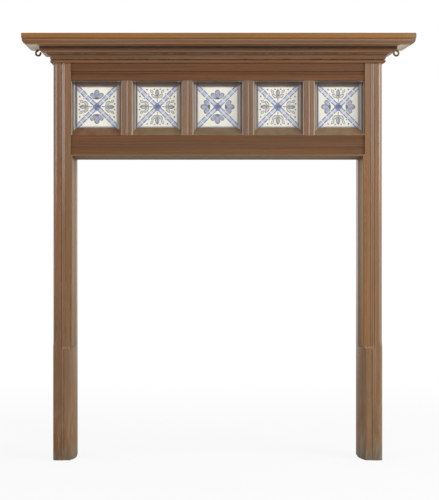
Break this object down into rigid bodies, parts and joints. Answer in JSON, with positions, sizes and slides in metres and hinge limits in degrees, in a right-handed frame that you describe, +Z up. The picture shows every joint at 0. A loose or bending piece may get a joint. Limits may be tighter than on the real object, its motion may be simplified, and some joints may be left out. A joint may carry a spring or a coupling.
{
  "type": "fireplace surround",
  "caption": "Wooden fireplace surround: moulded shelf on a stepped cornice, frieze of recessed square tiles, moulded legs beside the fire opening, brass cup hooks under the shelf ends.",
  "frame": {"origin": "on the floor, halfway along the surround and halfway from the shelf's front to the wall face", "axes": "+X to the right seen from the front, +Y from the front to the wall, +Z up"},
  "size_m": [1.366, 0.205, 1.5],
  "materials": {
    "polished_wood": "worn wax polish",
    "carcase_wood": "sawn softwood",
    "glazed_tile": "cream glaze with blue painting",
    "hook_brass": "darkened with age",
    "screw_steel": "plain"
  },
  "bodies": {
    "surround": {"shelf_board": "polished_wood", "shelf_core": "polished_wood", "shelf_edge_front": "polished_wood", "shelf_edge_left": "polished_wood", "shelf_edge_right": "polished_wood", "bed_mould_front": "polished_wood", "bed_mould_left": "polished_wood", "bed_mould_right": "polished_wood", "cove_mould_front": "polished_wood", "cove_mould_left": "polished_wood", "cove_mould_right": "polished_wood", "necking_front": "polished_wood", "necking_left": "polished_wood", "necking_right": "polished_wood", "top_rail": "polished_wood", "bottom_rail": "polished_wood", "mullion_1": "polished_wood", "mullion_2": "polished_wood", "mullion_3": "polished_wood", "mullion_4": "polished_wood", "panel_1_mould": "polished_wood", "panel_2_mould": "polished_wood", "panel_3_mould": "polished_wood", "panel_4_mould": "polished_wood", "panel_5_mould": "polished_wood", "sill_1": "polished_wood", "sill_2": "polished_wood", "sill_3": "polished_wood", "sill_4": "polished_wood", "sill_5": "polished_wood", "left_outer_stile": "polished_wood", "left_inner_stile": "polished_wood", "left_inner_foot": "polished_wood", "left_side_return": "polished_wood", "left_jamb_lining": "polished_wood", "left_opening_mould": "polished_wood", "right_outer_stile": "polished_wood", "right_inner_stile": "polished_wood", "right_inner_foot": "polished_wood", "right_side_return": "polished_wood", "right_jamb_lining": "polished_wood", "right_opening_mould": "polished_wood", "opening_mould_head": "polished_wood", "head_lining": "polished_wood", "left_core_post": "carcase_wood", "right_core_post": "carcase_wood", "backing_board": "carcase_wood", "rear_bearer": "carcase_wood", "glue_blocks": "carcase_wood", "tile_1": "glazed_tile", "tile_2": "glazed_tile", "tile_3": "glazed_tile", "tile_4": "glazed_tile", "tile_5": "glazed_tile", "backing_screws": "screw_steel", "shelf_screws": "screw_steel"},
    "left_hook": {"left_hook": "hook_brass"},
    "right_hook": {"right_hook": "hook_brass"}
  },
  "joints": [
    {"name": "left_hook_turn", "type": "hinge", "parent": "surround", "child": "left_hook", "pos_m": [-0.642, 0.0575, 1.46], "axis": [0, 0, 1], "range_deg": [-90, 90]},
    {"name": "right_hook_turn", "type": "hinge", "parent": "surround", "child": "right_hook", "pos_m": [0.642, 0.0575, 1.46], "axis": [0, 0, 1], "range_deg": [-90, 90]}
  ]
}
